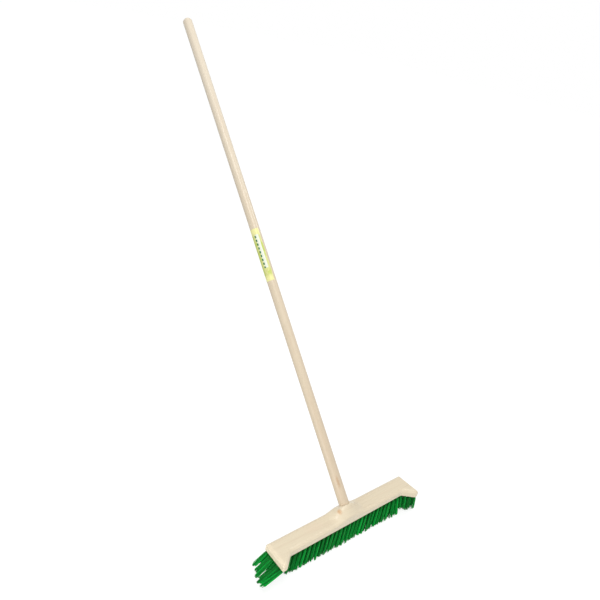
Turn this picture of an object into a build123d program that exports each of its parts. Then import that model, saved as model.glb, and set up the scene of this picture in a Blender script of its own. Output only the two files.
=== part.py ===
"""Push broom: wooden head with a tilted socket, long round handle, drilled and tufted synthetic bristles.

Frame: +X runs along the head, +Y to the back, where the handle leans, +Z up. The origin lies on the swept
floor, straight below the point where the handle's axis enters the top of the head.
"""
from build123d import *
import os
from math import atan, cos, degrees, floor, pi, radians, sin, tan

os.makedirs("parts", exist_ok=True)

# ---- driving dimensions, mm and degrees ----

# head block, seen from above
block_length = 500.0       # along the straight back edge
block_depth = 50.0         # between the wings, back to front
wing_reach = 26.0          # how far each wing stands forward of the middle
wing_tip_width = 13.0      # flat front end of a wing
wing_slope_run = 32.0      # length along X of a wing's slanted inner edge
end_flare = 3.5            # each end leans out by this much towards its wing tip
block_thickness = 19.0
edge_round = 9.0           # rounded top edges
back_corner_round = 3.0
wing_corner_round = 4.0
notch_round = 10.0         # inner corner where a wing meets the middle

# bristles
bristle_length = 66.0      # from the floor to the underside of the block
tuft_pitch = 16.0          # along a row
row_pitch = 12.0           # from row to row, each row shifted by half a pitch
tuft_sides = 8             # tufts and their holes are eight-sided prisms
hole_diameter = 7.0        # across the corners
hole_depth = 10.0
tuft_root_diameter = 5.8   # at the anchor
tuft_tip_diameter = 13.0   # where a straight tuft stands on the floor
end_margin = 7.0           # from an end of the block to the nearest tuft's centre
wing_margin = 7.0          # from a wing's slanted inner edge to the tufts that follow it
slant_count = 4            # tufts that follow that edge
fan_lean = 24.0            # lean of the tufts nearest an end
fan_columns = 5            # columns at each end that share the lean
anchor_height = 1.6
anchor_thickness = 0.5
anchor_end_gap = 0.15      # from an anchor's end to the wall of its hole

# handle and socket
handle_diameter = 28.0
handle_length = 1500.0
handle_tilt = 45.0         # from upright, towards the back
handle_dome = 10.0         # height of the rounded top end
socket_depth = 25.0        # along the handle, below the rim
socket_clearance = 0.1     # round the foot
foot_diameter = 26.0       # at the lower end of the tapered foot
foot_chamfer = 4.0
rim_rise = 24.0            # along the handle, from the top of the block to the rim
rim_wall = 4.5             # wood round the socket
facing_allowance = 2.0     # along the handle, how far the hump passes the rim before it is faced off
facing_reach = 12.0        # how far the facing cut passes the rim's edge
hump_half_length = 62.0    # from the middle to where the hump has run out
hump_section_count = 13    # sections of the loft over the hump's whole length

# label
label_length = 156.0
label_from_rim = 632.0     # along the handle
label_thickness = 0.12
label_wrap = 250.0         # degrees round the handle
label_start = 21.0         # degrees from +X towards the lower back
label_clearance = 0.02

# ---- places that follow from them ----

half_side_turn = 180 / tuft_sides  # turns an octagon so that a flat side, not a corner, faces its neighbour
hole_width = hole_diameter * cos(pi / tuft_sides)  # across the flats
row_names = ["back_row", "second_row", "third_row", "front_row"]
row_count = len(row_names)
underside_z = bristle_length
top_z = underside_z + block_thickness
row_ys = {name: (row_count / 2 - index) * row_pitch for index, name in enumerate(row_names)}
back_y = row_ys["back_row"] + (block_depth - (row_count - 1) * row_pitch) / 2
front_y = back_y - block_depth
wing_y = front_y - wing_reach
wing_x = block_length / 2 + end_flare

tilt = radians(handle_tilt)
handle_radius = handle_diameter / 2
handle_axis = Vector(0, sin(tilt), cos(tilt))
rim_centre = Vector(0, 0, top_z) + handle_axis * rim_rise
rim_plane = Plane(origin=rim_centre, x_dir=(1, 0, 0), z_dir=handle_axis)
handle_profile_plane = Plane(origin=rim_centre, x_dir=(1, 0, 0), z_dir=Vector(1, 0, 0).cross(handle_axis))
axis_line = Axis(rim_centre, handle_axis)


# ---- tuft sites: each is a plane on the underside, its Z pointing into the hole ----

def end_x(y):
    """Half length of the block at a distance y across it."""
    return block_length / 2 + end_flare * (back_y - y) / (back_y - wing_y)


def lean_at(x):
    """Outward lean of a tuft, growing over the last columns before an end."""
    fan_run = fan_columns * tuft_pitch
    fan_start = block_length / 2 - end_margin - fan_run
    return fan_lean * max(0.0, (abs(x) - fan_start) / fan_run)


def tuft_site(x, y):
    lean = radians(lean_at(x)) * (1 if x > 0 else -1)
    return Plane(
        origin=(x, y, underside_z),
        x_dir=(cos(lean), 0, sin(lean)),
        z_dir=(-sin(lean), 0, cos(lean)),
    )


def slant_row():
    """Tuft centres that follow the slanted inner edge of the right wing, from the notch to the wing's tip."""
    run = Vector(wing_slope_run, -wing_reach)
    inward = Vector(wing_reach, wing_slope_run).normalized()
    start = Vector(wing_x - wing_tip_width - wing_slope_run, front_y) + inward * wing_margin
    return [start + run * step / (slant_count - 1) for step in range(slant_count)]


def is_clear(x, y):
    """Whether a tuft has room beside those that follow the slanted edges."""
    return all((Vector(abs(x), y) - centre).length > tuft_tip_diameter for centre in slant_row())


def row_xs(name):
    """Places along a row: every second row is shifted by half a pitch, and one tuft stands at the origin."""
    shifted = (row_names.index(name) + row_count // 2) % 2 == 1
    first = tuft_pitch / 2 if shifted else 0.0
    steps = floor((end_x(row_ys[name]) - end_margin - first) / tuft_pitch)
    right = [first + step * tuft_pitch for step in range(steps + 1)]
    return [x for x in sorted({-x for x in right} | set(right)) if is_clear(x, row_ys[name])]


def wing_sites(side):
    """Tufts in a wing: those along its slanted edge, and where there is room one at its end in each further row."""
    centres = [(centre.X, centre.Y) for centre in slant_row()]
    y = row_ys["front_row"] - row_pitch
    while y > wing_y + hole_diameter:
        if is_clear(end_x(y) - end_margin, y):
            centres.append((end_x(y) - end_margin, y))
        y -= row_pitch
    return [tuft_site(side * x, y) for x, y in centres]


tuft_groups = {name: [tuft_site(x, row_ys[name]) for x in row_xs(name) if lean_at(x) == 0] for name in row_names}
fan_names = ["inner_fan", "middle_fan", "outer_fan"]
for side_name, side in (("left", -1), ("right", 1)):
    for index, fan_name in enumerate(fan_names):
        low = index / len(fan_names) * fan_lean
        high = (index + 1) / len(fan_names) * fan_lean
        tuft_groups[f"{side_name}_{fan_name}"] = [
            tuft_site(x, row_ys[name])
            for name in row_names
            for x in row_xs(name)
            if x * side > 0 and low < lean_at(x) <= high
        ]
    tuft_groups[f"{side_name}_wing"] = wing_sites(side)
all_sites = [site for sites in tuft_groups.values() for site in sites]


# ---- foot of the handle, shared by the handle and its socket ----

def foot_outline(gap):
    """Half profile of the tapered foot, with a gap all round it for the socket."""
    end_radius = foot_diameter / 2 + gap
    Polyline(
        (0, 0),
        (handle_radius + gap, 0),
        (end_radius, foot_chamfer - socket_depth),
        (end_radius - foot_chamfer, -socket_depth),
        (0, -socket_depth),
        close=True,
    )


# ---- head block ----

def bell(x):
    """Share of the hump's height at x: 1 in the middle, running out softly at both ends."""
    return (1 + cos(pi * x / hump_half_length)) / 2


rim_radius = handle_radius + rim_wall
raw_rim = rim_centre + handle_axis * facing_allowance
crest_y = raw_rim.Y - rim_radius * cos(tilt)
crest_z = raw_rim.Z + rim_radius * sin(tilt)
crest_rise = crest_z - top_z
front_rise = crest_rise - (crest_y - front_y) / tan(tilt)
back_rise = raw_rim.Z - (back_y - raw_rim.Y) * tan(tilt) - top_z


def hump_outline(x):
    """Upright section of the block across the hump: front, rounded front edge, crest, rounded back edge."""
    share = bell(x)
    front_turn = pi / 2 - (pi / 2 - tilt) * share
    back_turn = pi / 2 - tilt * share
    front_top = top_z + front_rise * share - edge_round * tan(front_turn / 2)
    back_top = top_z + back_rise * share - edge_round * tan(back_turn / 2)
    front_arc = CenterArc((front_y + edge_round, front_top), edge_round, 180, -degrees(front_turn))
    back_arc = CenterArc((back_y - edge_round, back_top), edge_round, 0, degrees(back_turn))
    Spline(
        front_arc @ 1,
        (crest_y, top_z + crest_rise * share),
        back_arc @ 1,
        tangents=[(sin(front_turn), cos(front_turn)), (1, 0), (sin(back_turn), -cos(back_turn))],
    )
    Polyline(front_arc @ 0, (front_y, underside_z), (back_y, underside_z), back_arc @ 0)


with BuildPart() as head_block:
    with BuildSketch(Plane.XY.offset(underside_z)):
        with BuildLine():
            Polyline(
                (0, back_y),
                (block_length / 2, back_y),
                (wing_x, wing_y),
                (wing_x - wing_tip_width, wing_y),
                (wing_x - wing_tip_width - wing_slope_run, front_y),
                (0, front_y),
            )
            mirror(about=Plane.YZ)
        make_face()
    extrude(amount=block_thickness)
    # upright edges from front to back: wing corners first, then the two inner corners of the notch
    fillet(head_block.edges().filter_by(Axis.Z).group_by(Axis.Y)[1], notch_round)
    fillet(head_block.edges().filter_by(Axis.Z).group_by(Axis.Y)[0], wing_corner_round)
    fillet(head_block.edges().filter_by(Axis.Z).group_by(Axis.Y)[-1], back_corner_round)
    fillet(head_block.faces().sort_by(Axis.Z)[-1].edges(), edge_round)
    # the middle stretch is one loft, from the plain section up over the hump and down again
    with Locations((0, (front_y + back_y) / 2, (underside_z + top_z) / 2)):
        Box(2 * hump_half_length, block_depth, block_thickness, mode=Mode.SUBTRACT)
    section_spacing = 2 * hump_half_length / (hump_section_count - 1)
    for index in range(hump_section_count):
        section_x = index * section_spacing - hump_half_length
        with BuildSketch(Plane.YZ.offset(section_x)):
            with BuildLine():
                hump_outline(section_x)
            make_face()
    loft()
    # the rim is faced off square to the handle, then the tapered socket is bored
    with BuildSketch(rim_plane):
        Circle(rim_radius + facing_reach)
    extrude(amount=rim_radius, mode=Mode.SUBTRACT)
    with BuildSketch(handle_profile_plane):
        with BuildLine():
            foot_outline(socket_clearance)
        make_face()
    revolve(axis=axis_line, mode=Mode.SUBTRACT)
    with BuildSketch(*[site.offset(-hole_diameter) for site in all_sites]):
        RegularPolygon(hole_diameter / 2, tuft_sides, rotation=half_side_turn)
    extrude(amount=hole_diameter + hole_depth, mode=Mode.SUBTRACT)
head_block.part.label = "head_block"
export_step(head_block.part, "parts/head_block.step")


# ---- handle ----

with BuildPart() as handle:
    with BuildSketch(handle_profile_plane):
        with BuildLine():
            foot_outline(0)
        make_face()
    revolve(axis=axis_line)
    dome_start = handle_length - socket_depth - handle_dome
    with BuildSketch(handle_profile_plane):
        with BuildLine():
            Polyline((0, dome_start + handle_dome), (0, 0), (handle_radius, 0), (handle_radius, dome_start))
            dome_radius = (handle_radius ** 2 + handle_dome ** 2) / 2 / handle_dome
            RadiusArc((handle_radius, dome_start), (0, dome_start + handle_dome), -dome_radius)
        make_face()
    revolve(axis=axis_line)
handle.part.label = "handle"
export_step(handle.part, "parts/handle.step")


# ---- label: a thin sticker wrapped part of the way round the handle ----

with BuildPart() as handle_label:
    label_inner = handle_radius + label_clearance
    label_outer = label_inner + label_thickness
    with BuildSketch(rim_plane.offset(label_from_rim)):
        with BuildLine():
            inner_arc = CenterArc((0, 0), label_inner, label_start, label_wrap)
            outer_arc = CenterArc((0, 0), label_outer, label_start, label_wrap)
            Line(inner_arc @ 0, outer_arc @ 0)
            Line(inner_arc @ 1, outer_arc @ 1)
        make_face()
    extrude(amount=label_length)
handle_label.part.label = "handle_label"
export_step(handle_label.part, "parts/handle_label.step")


# ---- tufts and their anchors ----

seat_depth = hole_depth - anchor_height
tuft_growth = (tuft_tip_diameter - tuft_root_diameter) / 2 / (bristle_length + seat_depth)
tuft_taper = degrees(atan(tuft_growth * cos(pi / tuft_sides)))
untrimmed_length = seat_depth + (bristle_length + tuft_tip_diameter) / cos(radians(fan_lean))
untrimmed_radius = tuft_root_diameter / 2 + tuft_growth * untrimmed_length

for group_name, sites in tuft_groups.items():
    # each tuft starts past the floor and narrows to its anchor, then all are trimmed level with the floor
    with BuildPart() as tufts:
        with BuildSketch(*[site.offset(seat_depth - untrimmed_length) for site in sites]):
            RegularPolygon(untrimmed_radius, tuft_sides, rotation=half_side_turn)
        extrude(amount=untrimmed_length, taper=tuft_taper)
        split(bisect_by=Plane.XY, keep=Keep.TOP)
    tufts.part.label = "tufts_" + group_name
    export_step(tufts.part, f"parts/tufts_{group_name}.step")

    with BuildPart() as anchors:
        with Locations(*[site.offset(seat_depth) for site in sites]):
            Box(
                hole_width - 2 * anchor_end_gap,
                anchor_thickness,
                anchor_height,
                align=(Align.CENTER, Align.CENTER, Align.MIN),
            )
    anchors.part.label = "anchors_" + group_name
    export_step(anchors.part, f"parts/anchors_{group_name}.step")

print("tufts:", len(all_sites))
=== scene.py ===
"""Finish of a push broom: wood with grain, separate bristles, a plain sticker and a pale studio."""
import math
from typing import NamedTuple

import bmesh
import bpy
import numpy as np
from bpy.props import FloatProperty, FloatVectorProperty, IntProperty, PointerProperty
from mathutils import Matrix, Vector


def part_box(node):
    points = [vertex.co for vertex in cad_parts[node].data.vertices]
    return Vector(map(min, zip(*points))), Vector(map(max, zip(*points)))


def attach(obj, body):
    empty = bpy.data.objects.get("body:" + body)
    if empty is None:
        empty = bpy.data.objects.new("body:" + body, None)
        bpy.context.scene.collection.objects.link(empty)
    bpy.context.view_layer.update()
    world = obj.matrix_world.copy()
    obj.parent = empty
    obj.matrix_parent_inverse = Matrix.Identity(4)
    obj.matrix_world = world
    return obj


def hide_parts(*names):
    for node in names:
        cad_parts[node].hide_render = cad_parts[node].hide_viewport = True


bl_info = {
    "name": "Push Broom Finish",
    "version": (1, 0, 0),
    "blender": (4, 5, 0),
    "location": "View3D > Sidebar > Broom",
    "description": "Gives a push broom its wood, bristles, sticker and studio",
    "category": "Object",
}

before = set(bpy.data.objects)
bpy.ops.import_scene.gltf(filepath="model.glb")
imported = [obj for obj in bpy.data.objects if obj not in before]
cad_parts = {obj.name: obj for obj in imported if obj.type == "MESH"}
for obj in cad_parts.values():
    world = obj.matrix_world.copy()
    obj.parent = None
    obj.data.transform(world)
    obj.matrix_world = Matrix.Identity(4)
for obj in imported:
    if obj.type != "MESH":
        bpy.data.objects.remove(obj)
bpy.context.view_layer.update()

TUFT_NODES = sorted(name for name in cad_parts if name.startswith("tufts_"))
ANCHOR_NODES = sorted(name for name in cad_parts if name.startswith("anchors_"))


# ---- the looks of the wood; lengths in metres, angles in radians ----

class Spot(NamedTuple):
    """A soft patch of another colour on a piece of wood: a stain of the wood itself, or painted
    light or shade.
    """
    centre: tuple
    reach: tuple
    colour: tuple
    strength: float
    along_grain: bool = False  # whether its place is measured in the grain's own coordinates


HEAD_GRAIN_TURN = (0, math.radians(90), 0)  # lays the grain along the head
HEAD_GRAIN_SHIFT = (0.03, 0.02, 0)
HEAD_CONTRAST = 0.45
# painted shade: a brown patch in the hollow left of the handle's foot, where the handle meets the
# boss
HEAD_FOOT_SHADE = Spot((-0.029, 0.005, 0.1005), (0.009, 0.012, 0.008), (0.62, 0.35, 0.16, 1), 0.8)
FLUSH_PLACE = 0.45  # share of the way from the head's middle to its left end
# a patch that is a little warmer than the rest; its place along the head is set from the block
FLUSH = Spot((0, 0.01, 0.085), (0.05, 0.02, 0.01), (0.78, 0.60, 0.45, 1), 0.25)

HANDLE_CONTRAST = 0.55
# patches on the handle: painted light on its upper part, painted shade on its lower part, and a
# brown streak of the wood near the foot
HANDLE_SPOTS = (
    Spot((0, 0, 0.75), (0.5, 0.5, 0.9), (0.84, 0.75, 0.61, 1), 0.7, True),  # painted light: the upper part paler, as the lamps light it more
    Spot((0, 0, -0.75), (0.5, 0.5, 0.6), (0.62, 0.50, 0.355, 1), 0.6, True),  # painted shade: the lower part darker, as less light reaches it
    Spot((-0.0066, -0.0124, -0.662), (0.006, 0.005, 0.026), (0.50, 0.29, 0.14, 1), 0.55, True))

PITH = (0.11, 0.07)  # how far the middle of the growth rings lies outside the piece, in X and Y
RING_WANDER = 0.030  # how far the rings swing in and out
RING_DARKENS = (0.45, 0.93)  # shares of a ring over which its late wood grows dark
RING_ENDS = (1.0, 0.93)
# the share of the way along the grain that counts, which draws each part out along it
WANDER_DRAWN = 0.06
FIBRES_DRAWN = 0.018
FLECKS_DRAWN = 0.12
CLOUDS_DRAWN = 0.25
STREAKS_DRAWN = 0.05
FLECK_SCALE = 0.75  # of the fibres' own
FLECK_RANGE = (0.70, 0.76)  # shares of the noise over which a fleck or a streak begins to show
STREAK_RANGE = (0.52, 0.74)
# how much each part of the grain darkens the wood
RING_SHARE = 0.45
STREAK_SHARE = 0.55
FIBRE_SHARE = 0.9
CLOUD_SHARE = 0.8
FLECK_SHARE = 0.35
FLECK_COLOUR = (0.42, 0.25, 0.13, 1)
FIBRE_HEIGHT = 0.6
FIBRE_RANGE = (0.3, 0.7)
WOOD_ROUGHNESS = (0.22, 0.36)
WOOD_BUMP = 0.25
WOOD_DEPTH = 0.0002
WOOD_DIRT = (0.10, (0.45, 0.36, 0.27, 1))  # how strong the dirt is, and its colour

SPOT_EDGE = (1.3, 0.5)  # shares of a spot's reach over which it grows to its full strength
SPOT_RAGGED = 0.7
SPOT_SCALE = 260
DIRT_PATCHES = (0.5, 0.75)  # shares of the noise over which dirt begins to show
DIRT_GRIT = (0.35, 0.7)
GRIT_FINENESS = 22  # of the patches' own scale
GRIT_RANGE = (0.3, 0.7)
GRIT_DEPTH = 0.0001

# ---- the looks of the sticker: each pair is where an edge begins and ends to show ----

BAND_ANGLE = math.radians(-133)  # where the pale band lies round the handle
BAND_COLOUR = (0.82, 0.86, 0.72, 1)
BAND_EDGE = (0.38, 0.32)  # angle from the middle of the band
DASH_ANGLE = math.radians(-153)
DASH_EDGE = (0.17, 0.14)  # angle from the middle of the dashes
DASH_BEGINS = (0.18, 0.24)  # shares of the pitch
DASH_ENDS = (0.82, 0.76)
DASHES_BEGIN = (0.24, 0.25)  # shares of the sticker's height
DASHES_END = (0.89, 0.88)
LOWER_END = (0.14, 0.05)
UPPER_END = (0.84, 0.93)
LIME_PATCHES = (0.50, 0.66)  # shares of the noise
LIME_SIDES = (0.7, 1.0)  # angle from the middle of the band
STICKER_DIRT = (0.15, (0.55, 0.52, 0.40, 1))

# ---- the bristles ----

STRAND_SIDES = 5
STRAND_STEPS = 6  # rings from the mouth of the hole to the cut end
CUT_DEPTH = 0.006  # share of a bristle's length that draws in at its cut end
CUT_NARROWING = 0.6
MOUTH_RADIUS = 0.0029  # of a tuft where it leaves its hole
CLUMPS = 4  # bundles that a tuft's bristles gather into
CLUMP_RADIUS = 0.62  # share of the tuft's radius at which the bundles' middles lie
SUNFLOWER_ANGLE = math.radians(137.5)
SMOOTH_ANGLE = math.radians(60)
SEED = 7
NEARLY_ZERO = 1e-6
FLOOR_LEVEL = 0.001  # a tuft's vertices below this belong to its free end
HOLE_LEVEL = 0.03  # and those above this to its end in the hole
BEND_BEFORE, BEND_LENGTH = 0.05, 0.15  # shares of length: a bristle bends round its hole's mouth
OPENING = 0.4  # exponent: a tuft opens fast below its hole and slowly after that
# spread of the random turns, in radians, and of the cut ends, as a share of their unevenness
STRAY_STRAND = 0.016
STRAY_TUFT = 0.009
TUFT_SHORTENING = 0.6
TUFT_SLOPE = 0.4
STRAND_SHORTENING = 0.35
# how pale a bristle is: for all, then by its tuft, its bundle and itself
TINTS = (0.35, 0.3, 0.15, 0.2)
FLANK_SHADE = 0.9  # painted shade: how much darker a tuft's left and right flanks are, where the tufts meet
ROOT_SHADE = (0.10, 0.45, 0.55, 0.0)  # from and to these shares of length: shaded by this much
ROOT_COLOUR = (0.002, 0.05, 0.008, 1)
BRISTLE_SPECULAR = 0.08
BRISTLE_DIRT = (0.10, (0.20, 0.30, 0.16, 1))

# ---- how use has worn the tufts ----

UPRIGHT = 0.001  # a tuft that is made with less lean than this stands upright
FRONT_ROWS = 0.006  # distance from the middle: the front row stands further, the next one within
NEXT_ROW_SHARE = 0.7  # how far the next row has splayed, as a share of the front row
SPLAY_SLOPE = 2.0  # how much the splay, and the lean to the left, grow per metre to the right
LEAN_SLOPE = 1.5
FADING = 2.0  # how fast the lean to the left fades out in a fan
FADING_RIGHT = 1.1
RIGHT_CLOSER = 0.3  # how much less the right fan opens
RIGHT_TURN = 0.35  # how far the right wing's tufts have turned back, for their distance forward
RIGHT_SPREAD = 1.3
RIGHT_WING_LENGTH = 0.88
BEND_FROM, BEND_OVER = 0.5, 0.28  # shares of the widest lean over which the left end is bent
LEFT_SHORTENING = 0.28
LAST_COLUMNS = 0.8  # share of the widest lean from which a tuft belongs to the gathered rows
GATHERED_SPREAD = 0.85
LEFT_PALEST = 0.5


class WornRow(NamedTuple):
    """How use has gathered a row of the last tufts at the left end."""
    begins: float  # in Y
    moved: float  # how far its tips have moved to the back
    share: float  # of its length that is left
    tint: float


# from back to front
WORN_ROWS = (
    WornRow(0.018, -0.001, 0.73, 0.65),
    WornRow(0.006, -0.004, 0.90, 0.35),
    WornRow(-0.006, 0.000, 0.90, 0.80),
    WornRow(-0.020, 0.003, 0.96, 0.55),
    WornRow(-0.027, 0.007, 0.90, 0.25),
    WornRow(-0.035, 0.010, 0.89, 0.75),
    WornRow(-1.0, 0.013, 0.89, 1.0))

# ---- the stage ----

FLOOR_FADE = (0.3, 1.4, 0.9, 0.3)  # from and to these distances: how pale the floor is there
FLOOR_SHADOW = (0.32, 0.32, 0.32, 1)
FLOOR_GLOW = 0.78
ROOM_BRIGHT_SIDE = (-0.25, -0.50, 0.83)
WHITE = (1, 1, 1, 1)
LAMPS = (  # name, place, aim, diameter and the setting that holds its power
    ("key_lamp", (-1.1, -0.3, 2.9), (0, 0.3, 0.4), 1.2, "key_light"),
    ("low_lamp", (-1.2, -0.3, 0.3), (-0.25, 0, 0.08), 0.7, "low_light"),
    ("sheen_lamp", (1.25, -0.05, 2.3), (0, 0.1, 0.3), 0.3, "sheen_light"),
)
CAMERA_PLACE = (-1.0610, -0.6870, 1.2387)
CAMERA_TURN = (64.49, -11.43, -40.52)  # degrees
CAMERA_LENS = 36.608
CAMERA_SENSOR = 36
CAMERA_SIGHT = 100


# ---- where things are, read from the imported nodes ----

def handle_frame():
    """How the handle lies: its lean to the back, the turn that sets it upright, and its middle."""
    low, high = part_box("handle")
    lean = math.atan2(high.y - low.y, high.z - low.z)
    return lean, Matrix.Rotation(lean, 3, "X"), (low + high) / 2


def connected_parts(mesh):
    """Lists of the vertices that hang together in a bmesh, in the same order each time."""
    found = set()
    for start in mesh.verts:
        if start in found:
            continue
        found.add(start)
        part, stack = [start], [start]
        while stack:
            for edge in stack.pop().link_edges:
                for vert in edge.verts:
                    if vert not in found:
                        found.add(vert)
                        part.append(vert)
                        stack.append(vert)
        yield part


def tuft_lines(node):
    """Each tuft of a node as (middle of its end in the hole, middle of its end on the floor)."""
    mesh = bmesh.new()
    mesh.from_mesh(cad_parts[node].data)
    bmesh.ops.remove_doubles(mesh, verts=mesh.verts, dist=NEARLY_ZERO)
    tufts = []
    for part in connected_parts(mesh):
        foot = [v.co for v in part if v.co.z < FLOOR_LEVEL]
        root = [v.co for v in part if v.co.z > HOLE_LEVEL]
        tufts.append((sum(root, Vector()) / len(root), sum(foot, Vector()) / len(foot)))
    mesh.free()
    return sorted(tufts, key=lambda tuft: (round(tuft[0].y, 4), round(tuft[0].x, 4)))


def made_lean(root, foot):
    """How far a tuft leans outwards as it is made."""
    return math.atan2(abs(foot.x - root.x), root.z - foot.z)


# ---- sizes and colours that a user would change ----

def colour_setting(name, description, *colour):
    return FloatVectorProperty(
        name=name, description=description, subtype="COLOR", size=4, default=(*colour, 1),
        min=0, max=1)


class BroomWoodSettings(bpy.types.PropertyGroup):
    head_colour: colour_setting("Head wood", "Main colour of the head's wood", 0.760, 0.660, 0.485)
    head_dark: colour_setting(
        "Head grain", "Colour of the head's darker growth rings", 0.665, 0.530, 0.370)
    handle_colour: colour_setting(
        "Handle wood", "Main colour of the handle's wood", 0.730, 0.620, 0.460)
    handle_dark: colour_setting(
        "Handle grain", "Colour of the handle's darker streaks", 0.640, 0.470, 0.310)
    ring_spacing: FloatProperty(
        name="Ring spacing", description="Distance between growth rings", unit="LENGTH",
        default=0.007, min=0.001)
    fibre_width: FloatProperty(
        name="Fibre width", description="Width of the fine fibres", unit="LENGTH",
        default=0.0006, min=0.0001)


class BroomBristleSettings(bpy.types.PropertyGroup):
    strands: IntProperty(
        name="Strands per tuft", description="Bristles in one tuft", default=48, min=6, max=60)
    diameter: FloatProperty(
        name="Strand diameter", description="Thickness of one bristle", unit="LENGTH",
        default=0.00130, min=0.0003, precision=5)
    spread: FloatProperty(
        name="Tip radius", description="Radius of a tuft at its free end", unit="LENGTH",
        default=0.0084, min=0.002, precision=4)
    uneven: FloatProperty(
        name="Uneven ends", description="How far the cut ends differ", unit="LENGTH",
        default=0.0025, min=0)
    left_lean: FloatProperty(
        name="Left end lean", description="How far use has bent the last tufts outwards",
        subtype="ANGLE", default=math.radians(58), min=0, max=math.radians(75))
    clumping: FloatProperty(
        name="Clumping", description="How closely a tuft's bristles gather into bundles",
        default=0.3, min=0, max=1)
    parting: FloatProperty(
        name="Parting", description="Where the upright tufts part, left of the middle",
        unit="LENGTH", default=-0.1285)
    parting_lean: FloatProperty(
        name="Parting lean", description="Lean of the upright tufts left of the parting",
        subtype="ANGLE", default=math.radians(2), min=0)
    upright_lean: FloatProperty(
        name="Upright lean", description="Lean to the left that use has given all upright tufts",
        subtype="ANGLE", default=math.radians(11), min=0)
    front_splay: FloatProperty(
        name="Front splay", description="How far the front rows have splayed forwards",
        subtype="ANGLE", default=math.radians(6), min=0)
    wing_from: FloatProperty(
        name="Wing", description="Tufts further forward than this stand in a wing",
        unit="LENGTH", default=-0.0125)
    colour: colour_setting("Bristle colour", "Main colour of the bristles", 0.0003, 0.045, 0.004)
    pale: colour_setting("Pale strands", "Colour of the palest bristles", 0.003, 0.470, 0.058)


class BroomStickerSettings(bpy.types.PropertyGroup):
    field: colour_setting("Field", "Colour of the sticker", 0.720, 0.730, 0.280)
    lime: colour_setting("Lime", "Greener patches of the sticker", 0.560, 0.660, 0.120)
    end: colour_setting("Ends", "Brighter yellow at both ends of the sticker", 0.900, 0.870, 0.380)
    dash: colour_setting("Dashes", "Colour of the plain dashes", 0.030, 0.190, 0.060)
    dash_pitch: FloatProperty(
        name="Dash pitch", description="Distance from dash to dash", unit="LENGTH",
        default=0.0115, min=0.004)


class BroomStageSettings(bpy.types.PropertyGroup):
    floor_size: FloatProperty(
        name="Floor", description="Side of the floor", unit="LENGTH", default=40, min=2)
    room_light: FloatProperty(
        name="Room light", description="Strength of the even light", default=0.58, min=0)
    room_slope: FloatProperty(
        name="Room slope", description="How much brighter the room is above and in front",
        default=0.30, min=0)
    key_light: FloatProperty(
        name="Key light", description="Power of the large lamp overhead", unit="POWER",
        default=20, min=0)
    low_light: FloatProperty(
        name="Low light", description="Power of the low lamp near the left end", unit="POWER",
        default=3.8, min=0)
    sheen_light: FloatProperty(
        name="Sheen light", description="Power of the small lamp overhead on the right",
        unit="POWER", default=6, min=0)


# ---- shader nodes ----

MIX_INPUTS = (0, 6, 7)  # where a Mix node has its factor and its two colours
MIX_COLOUR = 2  # and where it gives out its colour


def feed(tree, socket, value):
    """Links a socket to the value where that is a socket itself, and sets it otherwise."""
    if isinstance(value, bpy.types.NodeSocket):
        tree.links.new(value, socket)
    else:
        socket.default_value = value


def maths(tree, operation, *values, clamp=False):
    node = tree.nodes.new("ShaderNodeMath")
    node.operation = operation
    node.use_clamp = clamp
    for socket, value in zip(node.inputs, values):
        feed(tree, socket, value)
    return node.outputs[0]


def vector_maths(tree, operation, *values):
    node = tree.nodes.new("ShaderNodeVectorMath")
    node.operation = operation
    for socket, value in zip(node.inputs, values):
        feed(tree, socket, value)
    return node.outputs["Value" if operation in {"LENGTH", "DOT_PRODUCT"} else "Vector"]


def blend_colours(tree, factor, first, second):
    node = tree.nodes.new("ShaderNodeMix")
    node.data_type = "RGBA"
    for index, value in zip(MIX_INPUTS, (factor, first, second)):
        feed(tree, node.inputs[index], value)
    return node.outputs[MIX_COLOUR]


def spread(tree, value, low, high, to_low=0.0, to_high=1.0, smooth=True):
    """A value taken from one range to another, eased at both ends unless smooth is off."""
    node = tree.nodes.new("ShaderNodeMapRange")
    node.interpolation_type = "SMOOTHSTEP" if smooth else "LINEAR"
    sockets = ("Value", "From Min", "From Max", "To Min", "To Max")
    for socket, number in zip(sockets, (value, low, high, to_low, to_high)):
        feed(tree, node.inputs[socket], number)
    return node.outputs["Result"]


def noise(tree, vector, scale, detail=2.0, roughness=0.5):
    node = tree.nodes.new("ShaderNodeTexNoise")
    sockets = ("Vector", "Scale", "Detail", "Roughness")
    for socket, value in zip(sockets, (vector, scale, detail, roughness)):
        feed(tree, node.inputs[socket], value)
    return node.outputs["Fac"]


def drawn_out(tree, vector, share):
    """A vector of which only a share of Z counts, so that a noise on it is drawn out along Z."""
    return vector_maths(tree, "MULTIPLY", vector, (1, 1, share))


def swing(tree, value, width):
    """A noise made to swing about zero, over a width."""
    return maths(tree, "MULTIPLY", maths(tree, "SUBTRACT", value, 0.5), width)


def split_vector(tree, vector):
    node = tree.nodes.new("ShaderNodeSeparateXYZ")
    tree.links.new(vector, node.inputs[0])
    return node.outputs


# ---- shader node groups, each built once ----

def new_group(name, inputs, outputs):
    """An empty node group, with the sockets that it is given by and the ones that it gives to."""
    group = bpy.data.node_groups.new(name, "ShaderNodeTree")
    for socket, kind, value in inputs:
        made = group.interface.new_socket(socket, in_out="INPUT", socket_type=kind)
        if value is not None:
            made.default_value = value
    for socket, kind in outputs:
        group.interface.new_socket(socket, in_out="OUTPUT", socket_type=kind)
    entry = group.nodes.new("NodeGroupInput")
    leave = group.nodes.new("NodeGroupOutput")
    return group, entry.outputs, leave.inputs


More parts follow.
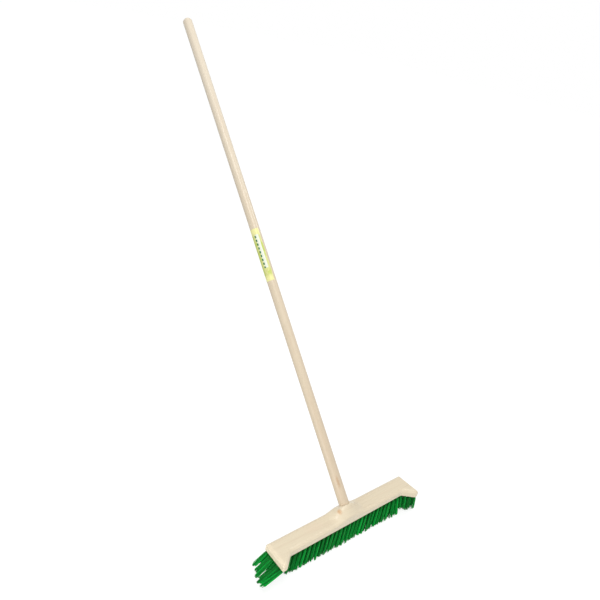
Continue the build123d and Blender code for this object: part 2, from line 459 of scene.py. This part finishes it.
def build_wood_grain():
    """Wood with its grain along Z of the vector given: rings, fibres, short flecks and clouds."""
    group, given, out = new_group(
        "Wood grain",
        [("Vector", "NodeSocketVector", None),
         ("Pale", "NodeSocketColor", (0.8, 0.65, 0.5, 1)),
         ("Dark", "NodeSocketColor", (0.6, 0.45, 0.3, 1)),
         ("Ring spacing", "NodeSocketFloat", 0.006),
         ("Fibre width", "NodeSocketFloat", 0.0006),
         ("Contrast", "NodeSocketFloat", 0.5)],
        [("Color", "NodeSocketColor"), ("Roughness", "NodeSocketFloat"),
         ("Height", "NodeSocketFloat")])
    vector = given["Vector"]
    axes = split_vector(group, vector)
    from_x = maths(group, "ADD", axes["X"], PITH[0])
    from_y = maths(group, "ADD", axes["Y"], PITH[1])
    squares = [maths(group, "MULTIPLY", way, way) for way in (from_x, from_y)]
    from_pith = maths(group, "SQRT", maths(group, "ADD", *squares))
    wander = noise(group, drawn_out(group, vector, WANDER_DRAWN), scale=24)
    bent = maths(group, "ADD", from_pith, swing(group, wander, RING_WANDER))
    turn = maths(group, "FRACT", maths(group, "DIVIDE", bent, given["Ring spacing"]))
    late_wood = maths(
        group, "MULTIPLY", spread(group, turn, *RING_DARKENS), spread(group, turn, *RING_ENDS))
    fibre_scale = maths(group, "DIVIDE", 1.0, given["Fibre width"])
    fibres = noise(
        group, drawn_out(group, vector, FIBRES_DRAWN), fibre_scale, detail=3, roughness=0.6)
    fleck_scale = maths(group, "MULTIPLY", fibre_scale, FLECK_SCALE)
    flecks = noise(group, drawn_out(group, vector, FLECKS_DRAWN), fleck_scale, detail=1)
    flecks = spread(group, flecks, *FLECK_RANGE)
    clouds = noise(group, drawn_out(group, vector, CLOUDS_DRAWN), scale=22, detail=3)
    streaks = noise(group, drawn_out(group, vector, STREAKS_DRAWN), scale=90)
    streaks = spread(group, streaks, *STREAK_RANGE)
    share = maths(group, "ADD", maths(group, "MULTIPLY", late_wood, RING_SHARE),
                  maths(group, "MULTIPLY", streaks, STREAK_SHARE))
    share = maths(group, "ADD", share, swing(group, fibres, FIBRE_SHARE))
    share = maths(group, "ADD", share, swing(group, clouds, CLOUD_SHARE))
    share = maths(group, "MULTIPLY", share, given["Contrast"], clamp=True)
    tone = blend_colours(group, share, given["Pale"], given["Dark"])
    tone = blend_colours(group, maths(group, "MULTIPLY", flecks, FLECK_SHARE), tone, FLECK_COLOUR)
    height = maths(group, "SUBTRACT", maths(group, "MULTIPLY", fibres, FIBRE_HEIGHT), flecks)
    group.links.new(tone, out["Color"])
    roughness = spread(group, fibres, *FIBRE_RANGE, *WOOD_ROUGHNESS)
    group.links.new(roughness, out["Roughness"])
    group.links.new(height, out["Height"])
    return group


def build_soft_spot():
    """A mask that is 1 inside a stretched ball about a point and fades out with a ragged edge."""
    group, given, out = new_group(
        "Soft spot",
        [("Vector", "NodeSocketVector", None), ("Centre", "NodeSocketVector", None),
         ("Reach", "NodeSocketVector", (0.01, 0.01, 0.01))],
        [("Mask", "NodeSocketFloat")])
    away = vector_maths(group, "SUBTRACT", given["Vector"], given["Centre"])
    length = vector_maths(group, "LENGTH", vector_maths(group, "DIVIDE", away, given["Reach"]))
    ragged = noise(group, given["Vector"], SPOT_SCALE, detail=3)
    edge = maths(group, "ADD", length, maths(group, "MULTIPLY", ragged, SPOT_RAGGED))
    group.links.new(spread(group, edge, *SPOT_EDGE), out["Mask"])
    return group


def build_handling():
    """Fine scuffs and faint dirt that every surface of a used tool shows: a mask and a height."""
    group, given, out = new_group(
        "Handling",
        [("Vector", "NodeSocketVector", None), ("Scale", "NodeSocketFloat", 60.0)],
        [("Dirt", "NodeSocketFloat"), ("Height", "NodeSocketFloat")])
    patches = noise(group, given["Vector"], given["Scale"], detail=4, roughness=0.6)
    grit_scale = maths(group, "MULTIPLY", given["Scale"], GRIT_FINENESS)
    grit = noise(group, given["Vector"], grit_scale)
    dirt = maths(group, "MULTIPLY", spread(group, patches, *DIRT_PATCHES),
                 spread(group, grit, *DIRT_GRIT))
    group.links.new(dirt, out["Dirt"])
    group.links.new(grit, out["Height"])
    return group


GROUP_BUILDERS = {"grain": build_wood_grain, "spot": build_soft_spot, "handling": build_handling}
GROUPS = {}


def place(tree, name, **values):
    """A shared node group, built the first time it is asked for, set into a material."""
    if name not in GROUPS:
        GROUPS[name] = GROUP_BUILDERS[name]()
    node = tree.nodes.new("ShaderNodeGroup")
    node.node_tree = GROUPS[name]
    for socket, value in values.items():
        feed(tree, node.inputs[socket.replace("_", " ")], value)
    return node


# ---- materials ----

def empty_material(name):
    material = bpy.data.materials.new(name)
    material.use_nodes = True
    material.node_tree.nodes.clear()
    return material, material.node_tree


def new_material(name):
    material, tree = empty_material(name)
    shader = tree.nodes.new("ShaderNodeBsdfPrincipled")
    leave = tree.nodes.new("ShaderNodeOutputMaterial")
    tree.links.new(shader.outputs[0], leave.inputs[0])
    return material, tree, shader


def own_coordinates(tree):
    return tree.nodes.new("ShaderNodeTexCoord").outputs["Object"]


def turned_coordinates(tree, own, turn, shift):
    """Object coordinates turned about the origin and then moved."""
    mapping = tree.nodes.new("ShaderNodeMapping")
    mapping.inputs["Rotation"].default_value = turn
    mapping.inputs["Location"].default_value = shift
    tree.links.new(own, mapping.inputs["Vector"])
    return mapping.outputs["Vector"]


def bump(tree, height, strength, distance):
    node = tree.nodes.new("ShaderNodeBump")
    node.inputs["Strength"].default_value = strength
    node.inputs["Distance"].default_value = distance
    tree.links.new(height, node.inputs["Height"])
    return node.outputs["Normal"]


def soil(tree, tone, handling, strength, dirt_colour):
    """A colour with the dirt of handling laid over it."""
    dirt = maths(tree, "MULTIPLY", handling.outputs["Dirt"], strength)
    return blend_colours(tree, dirt, tone, dirt_colour)


def roughen(tree, shader, handling, smooth, rough, bump_strength=0):
    """Gives a shader a roughness between two values, and a fine bump, from the handling's grit."""
    grit = handling.outputs["Height"]
    roughness = spread(tree, grit, *GRIT_RANGE, smooth, rough)
    tree.links.new(roughness, shader.inputs["Roughness"])
    if bump_strength:
        tree.links.new(bump(tree, grit, bump_strength, GRIT_DEPTH), shader.inputs["Normal"])


def make_wood(name, wood, pale, dark, turn, shift, contrast, spots):
    material, tree, shader = new_material(name)
    own = own_coordinates(tree)
    turned = turned_coordinates(tree, own, turn, shift)
    grain = place(
        tree, "grain", Vector=turned, Pale=tuple(pale), Dark=tuple(dark), Contrast=contrast,
        Ring_spacing=wood.ring_spacing, Fibre_width=wood.fibre_width)
    tone = grain.outputs["Color"]
    for spot in spots:
        patch = place(tree, "spot", Vector=turned if spot.along_grain else own,
                      Centre=spot.centre, Reach=spot.reach)
        share = maths(tree, "MULTIPLY", patch.outputs["Mask"], spot.strength)
        tone = blend_colours(tree, share, tone, spot.colour)
    tone = soil(tree, tone, place(tree, "handling", Vector=own, Scale=14.0), *WOOD_DIRT)
    tree.links.new(tone, shader.inputs["Base Color"])
    tree.links.new(grain.outputs["Roughness"], shader.inputs["Roughness"])
    normal = bump(tree, grain.outputs["Height"], WOOD_BUMP, WOOD_DEPTH)
    tree.links.new(normal, shader.inputs["Normal"])
    shader.inputs["Specular IOR Level"].default_value = 0.5
    return material


def make_sticker_film(sticker, lean, shift, start, end):
    """Plain film from start to end along the handle, with a pale band and a row of dashes on it."""
    material, tree, shader = new_material("Sticker film")
    own = own_coordinates(tree)
    axes = split_vector(tree, turned_coordinates(tree, own, (lean, 0, 0), shift))
    height = spread(tree, axes["Z"], start, end, smooth=False)
    angle = maths(tree, "ARCTAN2", axes["Y"], axes["X"])
    from_band = maths(tree, "ABSOLUTE", maths(tree, "SUBTRACT", angle, BAND_ANGLE))
    from_dashes = maths(tree, "ABSOLUTE", maths(tree, "SUBTRACT", angle, DASH_ANGLE))
    # a lime shade comes and goes along the field, and covers it away from the band
    patches = spread(tree, noise(tree, own, scale=45), *LIME_PATCHES)
    lime = maths(tree, "MAXIMUM", patches, spread(tree, from_band, *LIME_SIDES))
    field = blend_colours(tree, lime, tuple(sticker.field), tuple(sticker.lime))
    ends = maths(tree, "ADD", spread(tree, height, *LOWER_END), spread(tree, height, *UPPER_END),
                 clamp=True)
    field = blend_colours(tree, ends, field, tuple(sticker.end))
    inside = maths(tree, "MULTIPLY", spread(tree, height, *DASHES_BEGIN),
                   spread(tree, height, *DASHES_END))
    band = maths(tree, "MULTIPLY", spread(tree, from_band, *BAND_EDGE), inside)
    pitch = maths(tree, "FRACT", maths(tree, "DIVIDE", axes["Z"], sticker.dash_pitch))
    dash = maths(tree, "MULTIPLY", spread(tree, pitch, *DASH_BEGINS),
                 spread(tree, pitch, *DASH_ENDS))
    dash = maths(tree, "MULTIPLY", dash, spread(tree, from_dashes, *DASH_EDGE))
    dash = maths(tree, "MULTIPLY", dash, inside)
    tone = blend_colours(tree, band, field, BAND_COLOUR)
    tone = blend_colours(tree, dash, tone, tuple(sticker.dash))
    handling = place(tree, "handling", Vector=own, Scale=40.0)
    tree.links.new(soil(tree, tone, handling, *STICKER_DIRT), shader.inputs["Base Color"])
    roughen(tree, shader, handling, smooth=0.28, rough=0.42, bump_strength=0.1)
    return material


def make_bristle_plastic(settings):
    material, tree, shader = new_material("Bristle plastic")
    tint = tree.nodes.new("ShaderNodeAttribute")
    tint.attribute_name = "tint"
    along = tree.nodes.new("ShaderNodeAttribute")
    along.attribute_name = "along"
    handling = place(tree, "handling", Vector=own_coordinates(tree), Scale=50.0)
    # the tint attribute holds each bristle's tone with painted shade on its tuft's flanks
    tone = blend_colours(tree, tint.outputs["Fac"], tuple(settings.colour), tuple(settings.pale))
    tone = blend_colours(tree, spread(tree, along.outputs["Fac"], *ROOT_SHADE), tone, ROOT_COLOUR)
    tree.links.new(soil(tree, tone, handling, *BRISTLE_DIRT), shader.inputs["Base Color"])
    roughen(tree, shader, handling, smooth=0.42, rough=0.58, bump_strength=0.15)
    shader.inputs["Specular IOR Level"].default_value = BRISTLE_SPECULAR
    return material


def make_anchor_steel():
    material, tree, shader = new_material("Anchor steel")
    handling = place(tree, "handling", Vector=own_coordinates(tree), Scale=400.0)
    tone = soil(tree, (0.62, 0.60, 0.57, 1), handling, 1.0, (0.36, 0.30, 0.25, 1))
    tree.links.new(tone, shader.inputs["Base Color"])
    roughen(tree, shader, handling, smooth=0.28, rough=0.45)
    shader.inputs["Metallic"].default_value = 1.0
    return material


def finish_node(name, material):
    """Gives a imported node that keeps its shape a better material."""
    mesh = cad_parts[name].data
    mesh.materials.clear()
    mesh.materials.append(material)


# ---- the bristles ----

def model_strand():
    """One bristle of unit length and radius, extruded ring by ring and drawn in at its cut end."""
    bpy.ops.object.select_all(action="DESELECT")
    bpy.ops.mesh.primitive_circle_add(vertices=STRAND_SIDES, radius=1, fill_type="NGON")
    strand = bpy.context.object
    bpy.ops.object.mode_set(mode="EDIT")
    bpy.ops.mesh.select_all(action="SELECT")
    for length in [1 / STRAND_STEPS] * STRAND_STEPS + [CUT_DEPTH]:
        bpy.ops.mesh.extrude_region_move(TRANSFORM_OT_translate={"value": (0, 0, -length)})
    bpy.ops.transform.resize(value=(CUT_NARROWING, CUT_NARROWING, 1))
    bpy.ops.mesh.select_all(action="SELECT")
    bpy.ops.mesh.normals_make_consistent(inside=False)
    bpy.ops.object.mode_set(mode="OBJECT")
    bpy.ops.object.shade_smooth_by_angle(angle=SMOOTH_ANGLE)
    return strand


def copy_strands(context, pattern, name, count):
    """A new piece that holds that many copies of the pattern."""
    bpy.ops.object.select_all(action="DESELECT")
    pattern.select_set(True)
    context.view_layer.objects.active = pattern
    bpy.ops.object.duplicate()
    piece = context.object
    piece.name = piece.data.name = name
    array = piece.modifiers.new("Strands", "ARRAY")
    array.count = count
    array.use_relative_offset = False
    bpy.ops.object.modifier_apply(modifier=array.name)
    return piece


def add_attribute(mesh, name, values):
    attribute = mesh.attributes.new(name, "FLOAT", "POINT")
    attribute.data.foreach_set("value", values.astype(np.float32))


class Wear(NamedTuple):
    """How use has set a tuft."""
    side: int  # the end that it leans to: -1 is left
    lean: float  # at its free end
    drift: float  # how far it has turned to the back
    share: float  # of its length that is left
    gather: float  # share of the usual spread at its free end
    tint: float


def worn_tuft(settings, root, foot, widest, chance):
    """How use has set the tuft from root to foot, where widest is the most that a tuft leans."""
    lean = made_lean(root, foot)
    length = (foot - root).length
    in_wing = root.y < settings.wing_from
    # the front rows have splayed forwards, more towards the right
    if in_wing or root.y > FRONT_ROWS:
        forward = 0.0
    else:
        forward = 1.0 if root.y < -FRONT_ROWS else NEXT_ROW_SHARE
    splay = settings.front_splay * forward * (1 + SPLAY_SLOPE * root.x)
    set_left = settings.upright_lean * (1 + LEAN_SLOPE * root.x)
    if root.x < settings.parting:
        set_left += settings.parting_lean
    if lean < UPRIGHT:
        return Wear(-1, set_left, -splay, 1.0, 1.0, chance.uniform())
    if root.x > 0:
        # the right end stands closer, and its wing has worn shorter and turned back
        fading = FADING if in_wing else FADING_RIGHT
        end_lean = lean * (1 - RIGHT_CLOSER * lean / widest)
        end_lean -= set_left * max(0.0, 1 - fading * lean / widest)
        turned = max(0.0, settings.wing_from - root.y) * RIGHT_TURN / length - splay
        share = RIGHT_WING_LENGTH if in_wing else 1.0
        return Wear(1, end_lean, turned, share, RIGHT_SPREAD, chance.uniform())
    # the left end is bent outwards, and its last tufts are gathered into bunches
    bend = min(1.0, max(0.0, lean / widest - BEND_FROM) / BEND_OVER)
    bend = 1.0 if in_wing else bend * bend * (3 - 2 * bend)
    upright = max(0.0, 1 - FADING * lean / widest)
    end_lean = set_left * upright + (settings.left_lean - set_left * upright) * bend
    if not in_wing and lean < LAST_COLUMNS * widest:
        share = 1 - LEFT_SHORTENING * bend
        return Wear(-1, end_lean, -splay * upright, share, 1.0, chance.uniform(0, LEFT_PALEST))
    row = next(row for row in WORN_ROWS if root.y > row.begins)
    return Wear(-1, end_lean, row.moved / length, row.share, GATHERED_SPREAD, row.tint)


class TuftShape(NamedTuple):
    """What the bristles of one tuft share; each array has one value for each of their rings."""
    root: np.ndarray
    made: float  # lean as it is made
    wear: Wear
    rings: np.ndarray  # share of length: the root, the mouth of the hole, then even steps
    bent: np.ndarray  # how far the bend has come
    radius: np.ndarray  # within which the middles of the bristles lie
    gathering: np.ndarray  # the part of that radius over which they gather into bundles


def shape_tuft(settings, wear, root, foot, mouth):
    """The shape of a worn tuft whose hole has its mouth at a share of the tuft's length."""
    rings = np.concatenate([[0.0], np.linspace(mouth, 1, STRAND_STEPS)])
    bent = np.clip((rings - mouth + BEND_BEFORE) / BEND_LENGTH, 0, 1)
    opened = np.clip((rings - mouth) / (1 - mouth), 0, 1) ** OPENING
    at_mouth = MOUTH_RADIUS - settings.diameter / 2
    at_tip = settings.spread * wear.gather - settings.diameter / 2
    radius = at_mouth + (at_tip - at_mouth) * opened
    return TuftShape(
        np.array(root), made_lean(root, foot), wear, rings, bent, radius, at_tip * opened)


def strand_path(tuft, offset, pull, length, chance):
    """Points and directions of a bristle at its rings, from the bottom of its hole to its end."""
    leans = tuft.wear.side * (tuft.made + (tuft.wear.lean - tuft.made) * tuft.bent)
    leans = leans + chance.normal(0, STRAY_STRAND) * tuft.rings
    tilts = (tuft.wear.drift + chance.normal(0, STRAY_STRAND)) * tuft.bent
    directions = np.stack(
        [np.sin(leans) * np.cos(tilts), np.sin(tilts), -np.cos(leans) * np.cos(tilts)], 1)
    middles = (directions[1:] + directions[:-1]) / 2 * np.diff(tuft.rings)[:, None]
    walked = np.concatenate([[[0, 0, 0]], np.cumsum(middles, 0)])
    to_floor = tuft.root[2] / max(NEARLY_ZERO, -walked[-1, 2])
    points = tuft.root + walked * min(length, to_floor)
    points += np.outer(tuft.radius, offset) + np.outer(tuft.gathering, pull)
    return points, directions


def grow_tuft(settings, pattern, root, foot, under_head, widest, chance):
    """Place, tint with painted shade on the tuft's flanks, and share of length of each vertex of a
    tuft's bristles.
    """
    across, ring = pattern
    made_length = (foot - root).length
    wear = worn_tuft(settings, root, foot, widest, chance)
    length = made_length * wear.share - chance.uniform(0, TUFT_SHORTENING) * settings.uneven
    wear = wear._replace(lean=wear.lean + chance.normal(0, STRAY_TUFT),
                         drift=wear.drift + chance.normal(0, STRAY_TUFT))
    slope = chance.normal(0, TUFT_SLOPE, 2) * settings.uneven
    bundle_tints = chance.uniform(0, 1, CLUMPS)
    bundle_turns = chance.uniform(0, 2 * math.pi, CLUMPS)
    tuft = shape_tuft(settings, wear, root, foot, (root.z - under_head) / made_length)
    for_all, by_tuft, by_bundle, by_strand = TINTS
    places, tints_and_flank_shade = [], []
    for index in range(settings.strands):
        # a sunflower arrangement fills the round tuft evenly
        out = math.sqrt((index + 0.5) / settings.strands)
        turn = index * SUNFLOWER_ANGLE
        offset = np.array([math.cos(turn) * out, math.sin(turn) * out, 0])
        bundle = int(np.argmax(np.cos(bundle_turns - turn)))
        bundle_turn = bundle_turns[bundle]
        middle = np.array([math.cos(bundle_turn), math.sin(bundle_turn), 0]) * CLUMP_RADIUS
        pull = (middle - offset) * settings.clumping
        cut = length - slope @ offset[:2]
        cut -= chance.uniform(0, STRAND_SHORTENING) * settings.uneven
        points, directions = strand_path(tuft, offset, pull, cut, chance)
        sideways = np.cross([0, 1, 0], directions)
        sideways /= np.linalg.norm(sideways, axis=1)[:, None]
        upwards = np.cross(directions, sideways)
        place_at = points[ring] + settings.diameter / 2 * (
            across[:, :1] * sideways[ring] + across[:, 1:2] * upwards[ring])
        place_at[:, 2] = np.maximum(place_at[:, 2], 0)
        places.append(place_at)
        tint = for_all + by_tuft * wear.tint + by_bundle * bundle_tints[bundle]
        tint += by_strand * chance.uniform()
        # painted shade: bristles on a tuft's left and right flanks are darkened where the tufts
        # meet
        tints_and_flank_shade.append(np.full(len(ring), tint * (1 - FLANK_SHADE * offset[0] ** 2)))
    lengths = np.tile(tuft.rings[ring], settings.strands)
    return np.concatenate(places), np.concatenate(tints_and_flank_shade), lengths


# ---- operators, one for each piece or group of like pieces ----

class BROOM_OT_dress_head(bpy.types.Operator):
    """Gives the head block its pale planed wood"""
    bl_idname = "broom.dress_head"
    bl_label = "Dress head"

    def execute(self, context):
        wood = context.scene.broom_wood
        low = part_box("head_block")[0]
        flush = FLUSH._replace(centre=(FLUSH_PLACE * low.x, *FLUSH.centre[1:]))
        # the head's spots: painted shade at the handle's foot, and a warmer patch of the wood
        # itself
        finish_node("head_block", make_wood(
            "Head wood", wood, wood.head_colour, wood.head_dark, HEAD_GRAIN_TURN,
            HEAD_GRAIN_SHIFT, HEAD_CONTRAST, (HEAD_FOOT_SHADE, flush)))
        return {"FINISHED"}


class BROOM_OT_dress_handle(bpy.types.Operator):
    """Gives the handle its turned, lightly streaked wood"""
    bl_idname = "broom.dress_handle"
    bl_label = "Dress handle"

    def execute(self, context):
        wood = context.scene.broom_wood
        lean, turn, middle = handle_frame()
        finish_node("handle", make_wood(
            "Handle wood", wood, wood.handle_colour, wood.handle_dark, (lean, 0, 0),
            -(turn @ middle), HANDLE_CONTRAST, HANDLE_SPOTS))
        return {"FINISHED"}


class BROOM_OT_dress_sticker(bpy.types.Operator):
    """Gives the sticker on the handle a plain field with a row of dashes"""
    bl_idname = "broom.dress_sticker"
    bl_label = "Dress sticker"

    def execute(self, context):
        lean, turn, middle = handle_frame()
        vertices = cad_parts["handle_label"].data.vertices
        along = [(turn @ (v.co - middle)).z for v in vertices]
        finish_node("handle_label", make_sticker_film(
            context.scene.broom_sticker, lean, -(turn @ middle), min(along), max(along)))
        return {"FINISHED"}


class BROOM_OT_plant_bristles(bpy.types.Operator):
    """Plants separate bristles in every hole, in place of the plain tufts"""
    bl_idname = "broom.plant_bristles"
    bl_label = "Plant bristles"

    def execute(self, context):
        settings = context.scene.broom_bristles
        strand = model_strand()
        strand.data.materials.append(make_bristle_plastic(settings))
        across = np.array([v.co for v in strand.data.vertices])
        ring = np.clip(np.round(-across[:, 2] * STRAND_STEPS), 0, STRAND_STEPS).astype(int)
        chance = np.random.default_rng(SEED)
        planted = {node: tuft_lines(node) for node in TUFT_NODES}
        widest = max(made_lean(*line) for lines in planted.values() for line in lines)
        under_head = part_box("head_block")[0].z
        for node, lines in planted.items():
            grown = [grow_tuft(settings, (across, ring), root, foot, under_head, widest, chance)
                     for root, foot in lines]
            places, tints_and_flank_shade, lengths = map(np.concatenate, zip(*grown))
            piece = copy_strands(
                context, strand, node.replace("tufts_", "bristles_"), len(lines) * settings.strands)
            piece.data.vertices.foreach_set("co", places.astype(np.float32).ravel())
            # the tint attribute carries each bristle's tone and the painted shade on its tuft's
            # flanks
            add_attribute(piece.data, "tint", tints_and_flank_shade)
            add_attribute(piece.data, "along", lengths)
            piece.data.update()
            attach(piece, "root")
            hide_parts(node)
        bpy.data.objects.remove(strand)
        return {"FINISHED"}


class BROOM_OT_dress_anchors(bpy.types.Operator):
    """Gives the wire anchors in the holes their bright steel"""
    bl_idname = "broom.dress_anchors"
    bl_label = "Dress anchors"

    def execute(self, context):
        material = make_anchor_steel()
        for node in ANCHOR_NODES:
            finish_node(node, material)
        return {"FINISHED"}


# ---- the stage ----

def seen_directly(tree):
    """1 for what the camera sees, straight or in a reflection."""
    path = tree.nodes.new("ShaderNodeLightPath")
    seen = maths(tree, "MAXIMUM", path.outputs["Is Camera Ray"], path.outputs["Is Glossy Ray"])
    return maths(tree, "MAXIMUM", seen, path.outputs["Is Transmission Ray"])


def choose_seen(tree, unseen, seen, output):
    """Gives an output one shader where the camera sees it and another for all other light."""
    mix = tree.nodes.new("ShaderNodeMixShader")
    leave = tree.nodes.new(output)
    for socket, given in zip(mix.inputs, (seen_directly(tree), unseen, seen)):
        tree.links.new(given, socket)
    tree.links.new(mix.outputs[0], leave.inputs[0])


def flat_shader(tree, kind, colour, strength=None):
    node = tree.nodes.new(kind)
    feed(tree, node.inputs["Color"], colour)
    if strength is not None:
        feed(tree, node.inputs["Strength"], strength)
    return node.outputs[0]


def make_floor_white():
    """White to the camera and in reflections, with only a soft share of the object's shadow.

    The light that it throws back at the object fades with the distance from the head.
    """
    material, tree = empty_material("Pale floor")
    away = vector_maths(tree, "LENGTH", own_coordinates(tree))
    paper = flat_shader(tree, "ShaderNodeBsdfDiffuse", spread(tree, away, *FLOOR_FADE))
    both = tree.nodes.new("ShaderNodeAddShader")
    tree.links.new(flat_shader(tree, "ShaderNodeBsdfDiffuse", FLOOR_SHADOW), both.inputs[0])
    tree.links.new(flat_shader(tree, "ShaderNodeEmission", WHITE, FLOOR_GLOW), both.inputs[1])
    choose_seen(tree, paper, both.outputs[0], "ShaderNodeOutputMaterial")
    return material


def lay_floor(settings):
    bpy.ops.object.select_all(action="DESELECT")
    bpy.ops.mesh.primitive_plane_add(size=settings.floor_size, location=(0, 0, 0))
    floor = bpy.context.object
    floor.name = floor.data.name = "floor"
    floor.data.materials.append(make_floor_white())


def light_room(scene, settings):
    """A white room that lights the broom most from above and in front, and least from behind."""
    world = bpy.data.worlds.new("Pale room")
    scene.world = world
    world.use_nodes = True
    tree = world.node_tree
    tree.nodes.clear()
    direction = tree.nodes.new("ShaderNodeTexCoord").outputs["Generated"]
    facing = vector_maths(tree, "DOT_PRODUCT", direction, ROOM_BRIGHT_SIDE)
    slope = maths(tree, "MULTIPLY", facing, settings.room_slope)
    strength = maths(tree, "ADD", slope, settings.room_light)
    light = flat_shader(tree, "ShaderNodeBackground", WHITE, strength)
    white = flat_shader(tree, "ShaderNodeBackground", WHITE, 1)
    choose_seen(tree, light, white, "ShaderNodeOutputWorld")


def add_lamp(name, place_at, aim, diameter, power):
    bpy.ops.object.light_add(type="AREA", location=place_at)
    lamp = bpy.context.object
    lamp.name = name
    lamp.data.shape = "DISK"
    lamp.data.size = diameter
    lamp.data.energy = power
    lamp.rotation_euler = (Vector(aim) - Vector(place_at)).to_track_quat("-Z", "Y").to_euler()


def set_camera(scene):
    camera = bpy.data.objects.new("Camera", bpy.data.cameras.new("Camera"))
    scene.collection.objects.link(camera)
    camera.location = CAMERA_PLACE
    camera.rotation_euler = [math.radians(angle) for angle in CAMERA_TURN]
    camera.data.sensor_width = CAMERA_SENSOR
    camera.data.lens = CAMERA_LENS
    camera.data.clip_end = CAMERA_SIGHT
    scene.camera = camera


class BROOM_OT_set_stage(bpy.types.Operator):
    """Sets the floor, the even light, the lamps and the camera"""
    bl_idname = "broom.set_stage"
    bl_label = "Set stage"

    def execute(self, context):
        settings = context.scene.broom_stage
        lay_floor(settings)
        light_room(context.scene, settings)
        for name, place_at, aim, diameter, power in LAMPS:
            add_lamp(name, place_at, aim, diameter, getattr(settings, power))
        set_camera(context.scene)
        context.scene.view_settings.view_transform = "Standard"
        return {"FINISHED"}


# ---- the sidebar and the add-on's classes ----

SIDEBAR = (
    ("Wood", "broom_wood", (BROOM_OT_dress_head, BROOM_OT_dress_handle)),
    ("Sticker", "broom_sticker", (BROOM_OT_dress_sticker,)),
    ("Bristles", "broom_bristles", (BROOM_OT_plant_bristles,)),
    ("Anchors", None, (BROOM_OT_dress_anchors,)),
    ("Stage", "broom_stage", (BROOM_OT_set_stage,)),
)
SETTINGS = {
    "broom_wood": BroomWoodSettings,
    "broom_bristles": BroomBristleSettings,
    "broom_sticker": BroomStickerSettings,
    "broom_stage": BroomStageSettings,
}
OPERATORS = tuple(operator for _, _, operators in SIDEBAR for operator in operators)


class BROOM_PT_sidebar(bpy.types.Panel):
    bl_idname = "BROOM_PT_sidebar"
    bl_label = "Push broom"
    bl_space_type = "VIEW_3D"
    bl_region_type = "UI"
    bl_category = "Broom"

    def draw(self, context):
        for title, pointer, operators in SIDEBAR:
            box = self.layout.box()
            box.label(text=title)
            if pointer:
                settings = getattr(context.scene, pointer)
                for name in settings.__annotations__:
                    box.prop(settings, name)
            for operator in operators:
                box.operator(operator.bl_idname)


def register():
    for group in (*SETTINGS.values(), *OPERATORS, BROOM_PT_sidebar):
        bpy.utils.register_class(group)
    for pointer, settings in SETTINGS.items():
        setattr(bpy.types.Scene, pointer, PointerProperty(type=settings))


def unregister():
    for pointer in SETTINGS:
        delattr(bpy.types.Scene, pointer)
    for group in (BROOM_PT_sidebar, *reversed(OPERATORS), *SETTINGS.values()):
        bpy.utils.unregister_class(group)


def main():
    register()
    bpy.ops.broom.dress_head()
    bpy.ops.broom.dress_handle()
    bpy.ops.broom.dress_sticker()
    bpy.ops.broom.plant_bristles()
    bpy.ops.broom.dress_anchors()
    bpy.ops.broom.set_stage()


if __name__ == "__main__":
    main()
